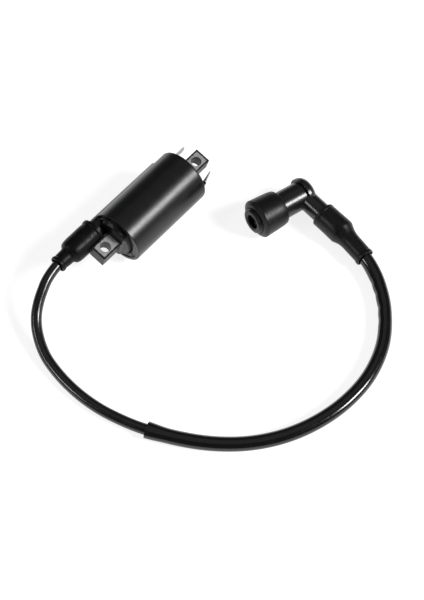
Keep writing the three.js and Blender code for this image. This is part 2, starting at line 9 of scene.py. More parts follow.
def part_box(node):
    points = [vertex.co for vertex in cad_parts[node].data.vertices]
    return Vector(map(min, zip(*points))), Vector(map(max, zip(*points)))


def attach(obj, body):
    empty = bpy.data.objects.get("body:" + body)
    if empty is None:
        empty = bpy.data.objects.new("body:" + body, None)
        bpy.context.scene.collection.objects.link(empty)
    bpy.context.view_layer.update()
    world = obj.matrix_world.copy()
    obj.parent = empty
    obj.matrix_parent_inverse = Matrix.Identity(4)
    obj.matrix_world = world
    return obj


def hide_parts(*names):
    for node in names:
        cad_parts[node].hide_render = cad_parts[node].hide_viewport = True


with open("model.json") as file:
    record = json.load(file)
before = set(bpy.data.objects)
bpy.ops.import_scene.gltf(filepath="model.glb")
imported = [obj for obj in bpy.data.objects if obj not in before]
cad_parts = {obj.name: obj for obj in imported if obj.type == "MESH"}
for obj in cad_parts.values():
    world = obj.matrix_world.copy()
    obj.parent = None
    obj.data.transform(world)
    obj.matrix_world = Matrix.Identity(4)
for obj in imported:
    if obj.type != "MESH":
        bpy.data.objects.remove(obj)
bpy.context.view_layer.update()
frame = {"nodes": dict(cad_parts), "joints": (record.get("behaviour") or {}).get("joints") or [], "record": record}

MM = 0.001
JOINTS = {joint["name"]: joint for joint in frame["joints"]}
MOUNTS = {mount["name"]: mount for mount in frame["record"]["mounts"]}


# ---------------------------------------------------------------- camera

CAMERA_AIM = Vector((-0.0201, -0.0698, 0.0))
CAMERA_AZIMUTH = math.radians(220.09)
CAMERA_ELEVATION = math.radians(59.715)
CAMERA_DISTANCE = 0.706
CAMERA_LENS = 65.7


def add_camera():
    data = bpy.data.cameras.new("camera")
    data.lens = CAMERA_LENS
    camera = bpy.data.objects.new("camera", data)
    direction = Vector((
        math.cos(CAMERA_ELEVATION) * math.cos(CAMERA_AZIMUTH),
        math.cos(CAMERA_ELEVATION) * math.sin(CAMERA_AZIMUTH),
        math.sin(CAMERA_ELEVATION),
    ))
    camera.location = CAMERA_AIM + direction * CAMERA_DISTANCE
    camera.rotation_euler = direction.to_track_quat("Z", "Y").to_euler()
    bpy.context.scene.collection.objects.link(camera)
    bpy.context.scene.camera = camera


# ---------------------------------------------------------------- places, worked out from the frame

def middle(node):
    low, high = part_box(node)
    return (low + high) / 2


def placed(origin, along, up=(0, 0, 1)):
    """A frame at origin whose X axis runs along the given direction and whose Z axis is nearest to up."""
    x_axis = Vector(along).normalized()
    y_axis = Vector(up).cross(x_axis).normalized()
    matrix = Matrix((x_axis, y_axis, x_axis.cross(y_axis))).transposed().to_4x4()
    matrix.translation = origin
    return matrix


COIL = placed(middle("core_lamination_3"), (1, 0, 0), MOUNTS["near_ear_top"]["axis"])
SPIKE = middle("tower_contact_spike")
TOWER_OFFSET = (COIL.inverted() @ Vector((COIL.translation.x, SPIKE.y, SPIKE.z))).y / MM
TOWER = COIL @ Matrix.Translation((0, TOWER_OFFSET * MM, 0))
ELBOW = Vector(JOINTS["cap_turn"]["pos_m"])
BARREL = placed(ELBOW, JOINTS["plug_boot_slide"]["axis"])
ARM = placed(ELBOW, JOINTS["cap_turn"]["axis"])
# Millimetres from the elbow to where the lead boot turns away from the arm
LEAD_BOOT_BEND = 37.7
NECK = placed(ARM @ Vector((LEAD_BOOT_BEND * MM, 0, 0)), JOINTS["lead_boot_slide"]["axis"])


# ---------------------------------------------------------------- mesh helpers, profiles in millimetres

def smooth(low, high, value):
    share = min(max((value - low) / (high - low), 0), 1)
    return share * share * (3 - 2 * share)


def rounded(points, steps=5):
    """Points of (axial, radius) or (axial, radius, fillet), with a curve of that reach at each fillet."""
    outline = []
    for index, point in enumerate(points):
        if len(point) == 2:
            outline.append(point)
            continue
        here = Vector(point[:2])
        before = Vector(points[index - 1][:2]) - here
        after = Vector(points[(index + 1) % len(points)][:2]) - here
        start = here + before.normalized() * min(point[2], 0.48 * before.length)
        end = here + after.normalized() * min(point[2], 0.48 * after.length)
        for step in range(steps + 1):
            share = step / steps
            corner = start * (1 - share) ** 2 + here * 2 * share * (1 - share) + end * share ** 2
            outline.append((corner.x, corner.y))
    return outline


def divided(outline, longest):
    """The outline with its long stretches cut into steps, so that its surface can be shaped."""
    result = [outline[0]]
    for start, end in zip(outline, outline[1:]):
        count = max(1, math.ceil(math.dist(start, end) / longest))
        for step in range(1, count + 1):
            share = step / count
            result.append((start[0] + (end[0] - start[0]) * share, start[1] + (end[1] - start[1]) * share))
    return result


def closed_outline(points, longest):
    """A rounded, divided outline that keeps off the axis and meets itself."""
    outline = divided(rounded(points), longest)
    return [*outline[:-1], outline[0]]


def turned(outline, sides=96):
    """A closed surface of an outline turned about X. The outline ends on the axis, or meets itself."""
    vertices, rings = [], []
    closed = outline[0] == outline[-1]
    for axial, radius in outline[:-1] if closed else outline:
        if radius < 1e-9:
            rings.append([len(vertices)])
            vertices.append(Vector((axial, 0, 0)) * MM)
            continue
        rings.append(range(len(vertices), len(vertices) + sides))
        for side in range(sides):
            angle = 2 * math.pi * side / sides
            vertices.append(Vector((axial, radius * math.cos(angle), radius * math.sin(angle))) * MM)
    if closed:
        rings.append(rings[0])
    return vertices, bridged(rings, sides)


def bridged(rings, sides):
    faces = []
    for near, far in zip(rings, rings[1:]):
        for side in range(sides):
            after = (side + 1) % sides
            if len(near) == 1:
                faces.append((near[0], far[after], far[side]))
            elif len(far) == 1:
                faces.append((near[side], near[after], far[0]))
            else:
                faces.append((near[side], near[after], far[after], far[side]))
    return faces


def piece(name, shape, place, body, look, replaces=(), crease=35):
    """Links one finished piece: its mesh is in its own frame, and place puts that frame in the part's."""
    vertices, faces = shape
    mesh = bpy.data.meshes.new(name)
    mesh.from_pydata([tuple(vertex) for vertex in vertices], [], faces)
    return finished(name, mesh, place, body, look, replaces, crease)


def finished(name, mesh, place, body, look, replaces=(), crease=35):
    cleaner = bmesh.new()
    cleaner.from_mesh(mesh)
    bmesh.ops.remove_doubles(cleaner, verts=cleaner.verts, dist=1e-6)
    bmesh.ops.recalc_face_normals(cleaner, faces=cleaner.faces)
    cleaner.to_mesh(mesh)
    cleaner.free()
    mesh.shade_smooth()
    mesh.set_sharp_from_angle(angle=math.radians(crease))
    mesh.materials.clear()
    mesh.materials.append(look)
    item = bpy.data.objects.new(name, mesh)
    bpy.context.scene.collection.objects.link(item)
    item.matrix_world = place
    item.modifiers.new("even shading", "WEIGHTED_NORMAL").keep_sharp = True
    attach(item, body)
    if replaces:
        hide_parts(*replaces)
    return item


def unevenness(vertices, size, depth, seed):
    """Moves each point by smooth noise of that feature size and depth, in millimetres."""
    shift = Vector((seed * 7.3, seed * 3.1, seed * 5.7))
    return [vertex + noise.noise_vector(vertex / (size * MM) + shift) * depth * MM for vertex in vertices]


def plate(name, outline, holes, thickness, bevel):
    """A flat sheet in the XY plane with round-edged outline and holes, as a mesh."""
    curve = bpy.data.curves.new(name, "CURVE")
    curve.dimensions = "2D"
    curve.fill_mode = "BOTH"
    for loop in [outline, *holes]:
        spline = curve.splines.new("POLY")
        spline.points.add(len(loop) - 1)
        spline.use_cyclic_u = True
        for point, (x, y) in zip(spline.points, loop):
            point.co = (x * MM, y * MM, 0, 1)
    curve.extrude = (thickness / 2 - bevel) * MM
    curve.bevel_depth = bevel * MM
    curve.bevel_resolution = 2
    curve.offset = -bevel * MM
    shape = bpy.data.objects.new(name + "_outline", curve)
    bpy.context.scene.collection.objects.link(shape)
    mesh = bpy.data.meshes.new_from_object(shape.evaluated_get(bpy.context.evaluated_depsgraph_get()))
    bpy.data.objects.remove(shape)
    mesh.name = name
    return mesh


def circle(x, y, radius, sides=48):
    return [
        (x + radius * math.cos(2 * math.pi * side / sides), y + radius * math.sin(2 * math.pi * side / sides))
        for side in range(sides)
    ]


def rectangle(low_x, high_x, low_y, high_y):
    return [(low_x, low_y), (high_x, low_y), (high_x, high_y), (low_x, high_y)]


# ---------------------------------------------------------------- material helpers

class Look:
    """A Principled material with procedural detail in the piece's own coordinates."""

    def __init__(self, name, color, roughness, metallic=0.0, coat=0.0, specular=0.5):
        self.material = bpy.data.materials.new(name)
        self.material.use_nodes = True
        self.nodes = self.material.node_tree.nodes
        self.links = self.material.node_tree.links
        self.shader = self.nodes["Principled BSDF"]
        self.color = color
        self.shader.inputs["Base Color"].default_value = (*color, 1)
        self.shader.inputs["Roughness"].default_value = roughness
        self.shader.inputs["Metallic"].default_value = metallic
        self.shader.inputs["Coat Weight"].default_value = coat
        self.shader.inputs["Coat Roughness"].default_value = 0.08
        self.shader.inputs["Specular IOR Level"].default_value = specular
        self.place = self.nodes.new("ShaderNodeTexCoord").outputs["Object"]
        self.height = None

    def stretched(self, scale):
        mapping = self.nodes.new("ShaderNodeMapping")
        mapping.inputs["Scale"].default_value = scale
        self.links.new(self.place, mapping.inputs["Vector"])
        return mapping.outputs["Vector"]

    def noise(self, size, detail=4, stretch=(1, 1, 1)):
        """Smooth noise whose features are about size millimetres."""
        texture = self.nodes.new("ShaderNodeTexNoise")
        texture.inputs["Scale"].default_value = 1 / (size * MM)
        texture.inputs["Detail"].default_value = detail
        self.links.new(self.stretched(stretch), texture.inputs["Vector"])
        return texture.outputs["Fac"]

    def ranged(self, value, from_low, from_high, low, high):
        node = self.nodes.new("ShaderNodeMapRange")
        node.inputs["From Min"].default_value = from_low
        node.inputs["From Max"].default_value = from_high
        node.inputs["To Min"].default_value = low
        node.inputs["To Max"].default_value = high
        self.links.new(value, node.inputs["Value"])
        return node.outputs["Result"]

    def math(self, operation, first, second):
        node = self.nodes.new("ShaderNodeMath")
        node.operation = operation
        for socket, value in zip(node.inputs, (first, second)):
            if isinstance(value, (int, float)):
                socket.default_value = value
            else:
                self.links.new(value, socket)
        return node.outputs["Value"]

    def tinted(self, mask, other):
        """Mixes the base colour so far towards another colour where the mask is high."""
        node = self.nodes.new("ShaderNodeMix")
        node.data_type = "RGBA"
        socket = self.shader.inputs["Base Color"]
        if socket.is_linked:
            self.links.new(socket.links[0].from_socket, node.inputs["A"])
        else:
            node.inputs["A"].default_value = (*self.color, 1)
        node.inputs["B"].default_value = (*other, 1)
        self.links.new(mask, node.inputs["Factor"])
        self.links.new(node.outputs["Result"], socket)
        return self

    def rough(self, value):
        self.links.new(value, self.shader.inputs["Roughness"])
        return self

    def bump(self, value, depth, strength=1.0):
        """Adds relief of that depth in millimetres."""
        node = self.nodes.new("ShaderNodeBump")
        node.inputs["Distance"].default_value = depth * MM
        node.inputs["Strength"].default_value = strength
        self.links.new(value, node.inputs["Height"])
        if self.height is not None:
            self.links.new(self.height, node.inputs["Normal"])
        self.height = node.outputs["Normal"]
        self.links.new(self.height, self.shader.inputs["Normal"])
        return self


def housing_look():
    look = Look("housing_plastic", (0.0035, 0.0036, 0.0038), 0.32)
    cloud = look.noise(9, 3)
    look.tinted(look.ranged(cloud, 0.45, 0.75, 0, 1), (0.007, 0.0071, 0.0074))
    look.rough(look.ranged(look.noise(2.2, 5), 0.3, 0.7, 0.29, 0.34))
    look.bump(look.noise(7, 2), 0.02, 0.4)
    return look.bump(look.noise(0.4, 2), 0.002, 0.6).material


def resin_look():
    look = Look("black_resin", (0.004, 0.004, 0.0043), 0.3, specular=0.4)
    look.tinted(look.ranged(look.noise(3, 4), 0.5, 0.8, 0, 1), (0.01, 0.01, 0.0105))
    look.rough(look.ranged(look.noise(1.5, 4), 0.3, 0.7, 0.26, 0.42))
    return look.bump(look.noise(1.6, 3), 0.03).material


def core_look(height):
    """Black enamel over the stack, scraped to bare steel where the bolts sit."""
    enamel, worn_enamel, steel = (0.006, 0.006, 0.0063), (0.014, 0.0138, 0.0135), (0.8, 0.8, 0.805)
    inner_edge, outer_edge, side_edge = (35.5, 35.9), (49.9, 50.4), (4.2, 4.7)
    look = Look("core_steel", enamel, 0.42, specular=0.35)
    axes = look.nodes.new("ShaderNodeSeparateXYZ")
    look.links.new(look.place, axes.inputs["Vector"])
    wobble = look.ranged(look.noise(0.9, 3), 0.3, 0.7, -0.25 * MM, 0.25 * MM)
    along = look.math("ADD", look.math("ABSOLUTE", axes.outputs["X"], 0), wobble)
    across = look.math("ADD", look.math("ABSOLUTE", axes.outputs["Y"], 0), wobble)
    inner = look.ranged(along, inner_edge[0] * MM, inner_edge[1] * MM, 0, 1)
    outer = look.ranged(along, outer_edge[0] * MM, outer_edge[1] * MM, 1, 0)
    side = look.ranged(across, side_edge[0] * MM, side_edge[1] * MM, 1, 0)
    top = look.ranged(axes.outputs["Z"], (height - 0.14) * MM, (height - 0.06) * MM, 0, 1)
    bare = look.math("MULTIPLY", look.math("MULTIPLY", inner, outer), look.math("MULTIPLY", side, top))
    streak = look.noise(0.5, 4, (0.06, 1, 1))
    look.tinted(look.ranged(look.noise(1.4, 4), 0.55, 0.8, 0, 1), worn_enamel)
    patches = look.ranged(look.noise(2.4, 5), 0.35, 0.62, 0.6, 1)
    bare = look.math("MULTIPLY", bare, patches)
    look.tinted(bare, steel)
    look.links.new(bare, look.shader.inputs["Metallic"])
    look.rough(look.ranged(streak, 0.3, 0.7, 0.34, 0.5))
    sheets = look.nodes.new("ShaderNodeTexWave")
    sheets.bands_direction = "Z"
    sheets.inputs["Scale"].default_value = 320
    look.links.new(look.place, sheets.inputs["Vector"])
    look.bump(sheets.outputs["Fac"], 0.03, 0.6)
    return look.bump(streak, 0.015).material


def metal_look(name, color, roughness, size=0.4, metallic=1.0):
    look = Look(name, color, roughness, metallic)
    grain = look.noise(size, 5, (0.15, 1, 1))
    look.tinted(look.ranged(look.noise(1.2, 4), 0.5, 0.8, 0, 0.6), tuple(part * 0.6 for part in color))
    look.rough(look.ranged(grain, 0.3, 0.7, roughness * 0.8, roughness * 1.25))
    return look.bump(grain, 0.008).material


def wound_look():
    """Enamelled wire laid turn by turn."""
    look = Look("copper", (0.5, 0.19, 0.08), 0.3, metallic=1.0)
    turns = look.nodes.new("ShaderNodeTexWave")
    turns.inputs["Scale"].default_value = 900
    turns.inputs["Distortion"].default_value = 0.4
    look.links.new(look.place, turns.inputs["Vector"])
    look.tinted(look.ranged(look.noise(1.5, 3), 0.4, 0.8, 0, 0.5), (0.3, 0.1, 0.04))
    return look.bump(turns.outputs["Fac"], 0.08).material


def nylon_look():
    look = Look("former_nylon", (0.6, 0.55, 0.43), 0.5)
    look.tinted(look.ranged(look.noise(4, 3), 0.4, 0.8, 0, 1), (0.5, 0.45, 0.34))
    return look.bump(look.noise(0.3, 3), 0.01).material


def ceramic_look():
    look = Look("ceramic", (0.72, 0.69, 0.62), 0.55)
    look.tinted(look.ranged(look.noise(0.6, 4), 0.55, 0.75, 0, 1), (0.55, 0.52, 0.46))
    return look.bump(look.noise(0.2, 4), 0.02).material


def boot_look():
    """Moulded rubber with a faint bloom and a fine skin."""
    look = Look("boot_rubber", (0.0045, 0.0045, 0.0048), 0.4, specular=0.32)
    look.tinted(look.ranged(look.noise(2.6, 6), 0.46, 0.72, 0, 1), (0.011, 0.011, 0.0114))
    look.rough(look.ranged(look.noise(1.1, 5), 0.3, 0.7, 0.34, 0.44))
    look.bump(look.noise(1.3, 3), 0.03, 0.5)
    return look.bump(look.noise(0.28, 3), 0.02).material


def tower_boot_look():
    """Softer, shinier rubber, stretched over the tower."""
    look = Look("tower_boot_rubber", (0.0025, 0.0025, 0.0028), 0.4, specular=0.16)
    look.tinted(look.ranged(look.noise(2, 5), 0.5, 0.75, 0, 1), (0.008, 0.008, 0.0084))
    look.rough(look.ranged(look.noise(2.4, 4), 0.35, 0.65, 0.34, 0.48))
    look.bump(look.noise(3.6, 2), 0.04, 0.6)
    return look.bump(look.noise(0.3, 3), 0.012).material


def lead_look():
    look = Look("lead_rubber", (0.004, 0.004, 0.0043), 0.26, specular=0.65)
    look.tinted(look.ranged(look.noise(5, 4), 0.5, 0.8, 0, 1), (0.008, 0.008, 0.0084))
    look.rough(look.ranged(look.noise(2, 5), 0.3, 0.7, 0.19, 0.27))
    return look.bump(look.noise(0.5, 3), 0.0042).material


def sleeve_look():
    look = Look("sleeve_plastic", (0.004, 0.004, 0.0043), 0.17, coat=0.3)
    look.tinted(look.ranged(look.noise(6, 4), 0.5, 0.8, 0, 1), (0.0075, 0.0075, 0.0079))
    look.rough(look.ranged(look.noise(3, 4), 0.3, 0.7, 0.13, 0.22))
    return look.bump(look.noise(2.5, 3), 0.05, 0.5).material


def phenolic_look():
    look = Look("phenolic", (0.007, 0.007, 0.0075), 0.26, specular=0.65)
    look.tinted(look.ranged(look.noise(3, 4), 0.55, 0.8, 0, 1), (0.008, 0.008, 0.0085))
    look.rough(look.ranged(look.noise(1.2, 5), 0.3, 0.7, 0.23, 0.3))
    return look.bump(look.noise(0.9, 3), 0.0028).material


# ---------------------------------------------------------------- the lead and its sleeve

ROUTE = [
    (-0.0346, 0.0129, 0.0229), (-0.048, 0.0129, 0.0229), (-0.062, 0.0129, 0.0229), (-0.074, 0.0128, 0.0228),
    (-0.085, 0.011, 0.0216), (-0.0921, 0.0087, 0.0193), (-0.0986, 0.0061, 0.0164), (-0.1047, 0.0026, 0.0132),
    (-0.1099, -0.0021, 0.0103), (-0.1142, -0.0078, 0.0078), (-0.1178, -0.0143, 0.0059),
    (-0.1206, -0.0215, 0.0047), (-0.1237, -0.0366, 0.0037), (-0.1249, -0.0525, 0.0036),
    (-0.124, -0.0678, 0.0036), (-0.1211, -0.0826, 0.0037), (-0.1172, -0.0964, 0.0044),
    (-0.1088, -0.1166, 0.0048), (-0.0977, -0.1353, 0.0048), (-0.0838, -0.1516, 0.0048),
    (-0.0668, -0.1648, 0.0048), (-0.047, -0.1743, 0.0048), (-0.0246, -0.1798, 0.0048),
    (-0.0009, -0.1801, 0.0048), (0.0228, -0.1735, 0.0048), (0.0436, -0.1598, 0.0048),
    (0.0552, -0.1472, 0.0053), (0.061, -0.1382, 0.0061), (0.065, -0.1289, 0.0073), (0.0674, -0.1189, 0.008),
    (0.0697, -0.1092, 0.0087), (0.0712, -0.102, 0.0092), (0.0727, -0.0918, 0.0097), (0.074, -0.0822, 0.0102),
]
LEAD_DIAMETER = 0.007
SPAN_STEPS = 12


def smooth_line(route):
    """Centripetal Catmull-Rom points through the route."""
    points = [Vector(point) for point in route]
    points = [2 * points[0] - points[1], *points, 2 * points[-1] - points[-2]]
    line = [points[1]]
    for before, start, end, after in zip(points, points[1:], points[2:], points[3:]):
        gaps = [math.sqrt((b - a).length) for a, b in ((before, start), (start, end), (end, after))]
        leave = (start - before) / gaps[0] - (end - before) / (gaps[0] + gaps[1]) + (end - start) / gaps[1]
        arrive = (end - start) / gaps[1] - (after - start) / (gaps[1] + gaps[2]) + (after - end) / gaps[2]
        leave, arrive = leave * gaps[1], arrive * gaps[1]
        for step in range(1, SPAN_STEPS + 1):
            t = step / SPAN_STEPS
            line.append(
                start * (2 * t ** 3 - 3 * t ** 2 + 1) + leave * (t ** 3 - 2 * t ** 2 + t)
                + end * (3 * t ** 2 - 2 * t ** 3) + arrive * (t ** 3 - t ** 2)
            )
    return line


def run_lengths(line):
    lengths = [0.0]
    for start, end in zip(line, line[1:]):
        lengths.append(lengths[-1] + (end - start).length)
    return lengths


LEAD_LINE = smooth_line(ROUTE)
LEAD_RUN = run_lengths(LEAD_LINE)


def lead_jacket():
    curve = bpy.data.curves.new("lead", "CURVE")
    curve.dimensions = "3D"
    curve.bevel_depth = LEAD_DIAMETER / 2
    curve.bevel_resolution = 10
    curve.use_fill_caps = True
    spline = curve.splines.new("POLY")
    spline.points.add(len(LEAD_LINE) - 1)
    for point, place in zip(spline.points, LEAD_LINE):
        point.co = (*place, 1)
    spline.use_smooth = True
    curve.materials.append(lead_look())
    lead = bpy.data.objects.new("lead", curve)
    bpy.context.scene.collection.objects.link(lead)
    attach(lead, "coil")
    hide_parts("lead_jacket")
    return lead


LEAD_STEPS = 54
SLEEVE_START = 21 / LEAD_STEPS
SLEEVE_END = 49 / LEAD_STEPS
SLEEVE_SIDES = 56
SLEEVE_OUTSIDE = 4.6
SLEEVE_INSIDE = 3.75
SLEEVE_THINNEST = 0.15
SLEEVE_KINKS = ((0.79, 0.25), (0.83, 0.35), (0.875, 0.4), (0.91, 0.3))
KINK_REACH = 0.009


def sleeve_radius(share, angle):
    """The sleeve's outer radius in millimetres at a share of its length and an angle from its outer side."""
    flare = 0.7 * smooth(0.06, 0, share) * math.cos(angle) ** 2
    slim = 0.16 * smooth(0.0, 0.3, share) + 0.12 * smooth(0.45, 0.75, share) - 0.3 * smooth(0.8, 0.95, share)
    oval = 0.1 * math.cos(2 * angle)
    inner_side = max(-math.cos(angle), 0) ** 2
    kink = 0.0
    for centre, depth in SLEEVE_KINKS:
        kink += depth * math.exp(-((share - centre) / KINK_REACH) ** 2) * inner_side
    return max(SLEEVE_OUTSIDE + flare - slim + oval - kink, SLEEVE_INSIDE + SLEEVE_THINNEST)


def lead_sleeve():
    start, end = SLEEVE_START * LEAD_RUN[-1], SLEEVE_END * LEAD_RUN[-1]
    stations = [i for i, run in enumerate(LEAD_RUN) if start <= run <= end and 0 < i < len(LEAD_LINE) - 1]
    vertices, outer, inner = [], [], []
    for surface, rings in ((sleeve_radius, outer), (lambda share, angle: SLEEVE_INSIDE, inner)):
        for index in stations:
            centre = LEAD_LINE[index]
            forward = (LEAD_LINE[index + 1] - LEAD_LINE[index - 1]).normalized()
            side = forward.cross(Vector((0, 0, 1))).normalized()
            up = side.cross(forward)
            share = (LEAD_RUN[index] - start) / (end - start)
            rings.append(range(len(vertices), len(vertices) + SLEEVE_SIDES))
            for step in range(SLEEVE_SIDES):
                angle = 2 * math.pi * step / SLEEVE_SIDES
                radius = surface(share, angle) * MM
                vertices.append(centre + (side * math.cos(angle) + up * math.sin(angle)) * radius)
    rings = [*outer, *reversed(inner), outer[0]]
    return piece("sleeve", (vertices, bridged(rings, SLEEVE_SIDES)), Matrix.Identity(4), "coil",
                 sleeve_look(), ["lead_sleeve"], crease=50)


# ---------------------------------------------------------------- the coil unit

HALF_LENGTH = 32.5
FAR_END = 33.5
NEAR_RADIUS = 18.95
FAR_RADIUS = 19.25
MOUTH_RADIUS = 16.8
TOWER_RADIUS = 6.6
TOWER_END = -51
RIDGE_END = 23
RIDGE_END_RADIUS = 19.2
CORE_LENGTH = 103.2
CORE_WIDTH = 11.3
LAMINATION_COUNT = 5
LAMINATION_PITCH = 2
LAMINATION_THICKNESS = 1.9
CORE_TOP = LAMINATION_PITCH * (LAMINATION_COUNT - 1) / 2 + LAMINATION_THICKNESS / 2
BOLT_RADIUS = 3.5
BOLT_SPACING = 89


def ridge_reach(x, angle):
    """How far the ridge over the tower reaches from the coil's axis, at an angle from the tower's side."""
    across = TOWER_OFFSET * math.sin(angle)
    if x > RIDGE_END or math.cos(angle) < 0 or abs(across) >= TOWER_RADIUS:
        return 0
    return TOWER_OFFSET * math.cos(angle) + math.sqrt(TOWER_RADIUS ** 2 - across ** 2)


def ridge_valley(radius):
    """The angle from the tower's side at which the ridge meets a can of that radius."""
    across = TOWER_OFFSET ** 2 + radius ** 2 - TOWER_RADIUS ** 2
    return math.acos(across / (2 * TOWER_OFFSET * radius))


def housing():
    """The can: a shell with a ridge along one side, a rounded far end and a thin rim at its mouth."""
    sides = 200
    # The line of the mesh nearest to the ridge's valley, which is moved into it to keep the crease crisp
    valley_side = 7
    outline = divided(rounded([
        (-HALF_LENGTH + 2.6, 0), (-HALF_LENGTH + 2.6, MOUTH_RADIUS), (-HALF_LENGTH, MOUTH_RADIUS, 0.35),
        (-HALF_LENGTH, NEAR_RADIUS, 0.45), (RIDGE_END - 0.1, RIDGE_END_RADIUS),
        (RIDGE_END + 0.1, RIDGE_END_RADIUS), (FAR_END, FAR_RADIUS, 1.6), (FAR_END, 15.4, 0.3),
        (FAR_END - 0.5, 15.1, 0.3), (FAR_END - 0.5, 14.2, 0.3), (FAR_END, 13.9, 0.3), (FAR_END, 0),
    ]), 1.2)
    vertices, faces = turned(outline, sides)
    for index, vertex in enumerate(vertices):
        x, y, z = vertex / MM
        radius = math.hypot(y, z)
        if radius > NEAR_RADIUS - 1.0:
            angle = math.atan2(z, y)
            if round(abs(angle) * sides / (2 * math.pi)) == valley_side and x < RIDGE_END:
                angle = math.copysign(ridge_valley(max(radius, NEAR_RADIUS)), angle)
            reach = max(radius, ridge_reach(x, angle) - (NEAR_RADIUS - radius) * 0.5)
            vertices[index] = Vector((x, reach * math.cos(angle), reach * math.sin(angle))) * MM
    return piece("housing", (vertices, faces), COIL, "coil", housing_look(),
                 ["coil_housing"], crease=24)


def end_height(y, z):
    """Height of the potted end above the mouth, in millimetres: a round raised disc with a boss on it."""
    disc = 16.3 - math.hypot(y - 4.3, z + 0.8)
    height = -0.55 + 2.2 * smooth(0, 0.8, disc) - 1.3 * math.exp(-((disc + 0.35) / 0.35) ** 2)
    boss = min(12.4 - y, y + 7.6, 15.2 - math.hypot(y - 1.5, z))
    height += 1.7 * smooth(0, 1.5, boss)
    ear = max(abs(y) - CORE_WIDTH / 2, abs(z) - CORE_TOP)
    height += 0.8 * smooth(1.1, 0, ear)
    here, start, end = Vector((y, z)), Vector((-12.2, -2.6)), Vector((-16.2, -8.0))
    along = min(max((here - start).dot(end - start) / (end - start).length_squared, 0), 1)
    notch = (here - start.lerp(end, along)).length
    height -= 0.7 * math.exp(-(notch / 0.45) ** 2)
    lumps = noise.fractal(Vector((y, z, 0.4)) / 3.2, 0.9, 2.1, 3)
    return height + 0.3 * lumps * smooth(0, 6, y)


def potted_end():
    sides, ring_count = 150, 64
    vertices = [Vector((-HALF_LENGTH - end_height(0, 0), 0, 0)) * MM]
    rings = [[0]]
    for ring in range(1, ring_count + 1):
        radius = (MOUTH_RADIUS - 0.04) * ring / ring_count
        rings.append(range(len(vertices), len(vertices) + sides))
        for side in range(sides):
            angle = 2 * math.pi * side / sides
            y, z = radius * math.cos(angle), radius * math.sin(angle)
            vertices.append(Vector((-HALF_LENGTH - end_height(y, z), y, z)) * MM)
    rings.append(range(len(vertices), len(vertices) + sides))
    for side in range(sides):
        angle = 2 * math.pi * side / sides
        back = (MOUTH_RADIUS - 0.04) * Vector((0, math.cos(angle), math.sin(angle)))
        vertices.append((back + Vector((-HALF_LENGTH + 2.4, 0, 0))) * MM)
    rings.append([len(vertices)])
    vertices.append(Vector((-HALF_LENGTH + 2.4, 0, 0)) * MM)
    return piece("potted_end", (vertices, bridged(rings, sides)), COIL, "coil", resin_look(),
                 ["end_cap"], crease=70)


def tower_stub():
    outline = rounded([
        (TOWER_END + 12, 0), (TOWER_END + 12, 3.95), (TOWER_END, 3.95, 0.4), (TOWER_END, TOWER_RADIUS, 0.6),
        (-HALF_LENGTH + 1, TOWER_RADIUS), (-HALF_LENGTH + 1, 0),
    ])
    return piece("tower", turned(outline), TOWER, "coil", housing_look())


def laminations():
    look = core_look(CORE_TOP)
    half_length, half_width = CORE_LENGTH / 2, CORE_WIDTH / 2
    holes = [circle(side * BOLT_SPACING / 2, 0, BOLT_RADIUS) for side in (-1, 1)]
    for sheet in range(LAMINATION_COUNT):
        height = (sheet - (LAMINATION_COUNT - 1) / 2) * LAMINATION_PITCH
        mesh = plate(f"lamination_{sheet + 1}", rectangle(-half_length, half_length, -half_width, half_width),
                     holes, LAMINATION_THICKNESS + 0.06, 0.07)
        for vertex in mesh.vertices:
            vertex.co.z += height * MM
        finished(f"lamination_{sheet + 1}", mesh, COIL, "coil", look,
                 [f"core_lamination_{sheet + 1}"])


BLADE_TIP = 44.4
BLADE_WIDTH = 6.3
BLADE_THICKNESS = 0.8
BLADE_HEIGHT = 7
BLADE_BEND = HALF_LENGTH + 3.6
BLADE_CHAMFER = (1.0, 1.2)
LATCH_RADIUS = 0.9
LEFT_BLADE_Y = 11.6
RIGHT_BLADE_Y = -15
RIGHT_BLADE_LEAN = math.radians(20)
BASE_HALF_WIDTH = 1.3
BASE_BELOW = 3.7
BASE_ABOVE = 3.4
BASE_THICKNESS = 2.4


def terminal(side, y, lean):
    """A flat spade blade with a chamfered tip and a latch hole, standing in a small moulded base."""
    low, half = HALF_LENGTH - 4.7, BLADE_WIDTH / 2
    along, inward = BLADE_CHAMFER
    outline = [
        (low, -half), (BLADE_BEND, -half), (BLADE_TIP - along, -half), (BLADE_TIP, -half + inward),
        (BLADE_TIP, half - inward), (BLADE_TIP - along, half), (BLADE_BEND, half), (low, half),
    ]
    latch = circle((BLADE_BEND + BLADE_TIP) / 2, 0, LATCH_RADIUS, 24)
    mesh = plate(f"blade_{side}", outline, [latch], BLADE_THICKNESS, 0.1)
    for vertex in mesh.vertices:
        x, across, thick = vertex.co / MM
        beyond = max(x - BLADE_BEND, 0)
        vertex.co = Vector((
            x - beyond + beyond * math.cos(lean) - thick * math.sin(lean) * (beyond > 0),
            y + beyond * math.sin(lean) + thick,
            BLADE_HEIGHT + across,
        )) * MM
    look = metal_look("tinned_brass", (0.7, 0.69, 0.66), 0.4, metallic=0.45)
    finished(f"blade_{side}", mesh, COIL, "coil", look, [f"terminal_blade_{side}"])
    bottom, top = BLADE_HEIGHT - BASE_BELOW, BLADE_HEIGHT + BASE_ABOVE
    foot = rectangle(y - BASE_HALF_WIDTH, y + BASE_HALF_WIDTH, bottom, top)
    base = plate(f"blade_base_{side}", foot, [], BASE_THICKNESS, 0.3)
    turn = Matrix(((0, 0, 1, (FAR_END + 0.4) * MM), (1, 0, 0, 0), (0, 1, 0, 0), (0, 0, 0, 1)))
    base.transform(turn)
    finished(f"blade_base_{side}", base, COIL, "coil", housing_look())


TOWER_BOOT_FLAT_START = -52.2
TOWER_BOOT_EAR_GAP = 0.25


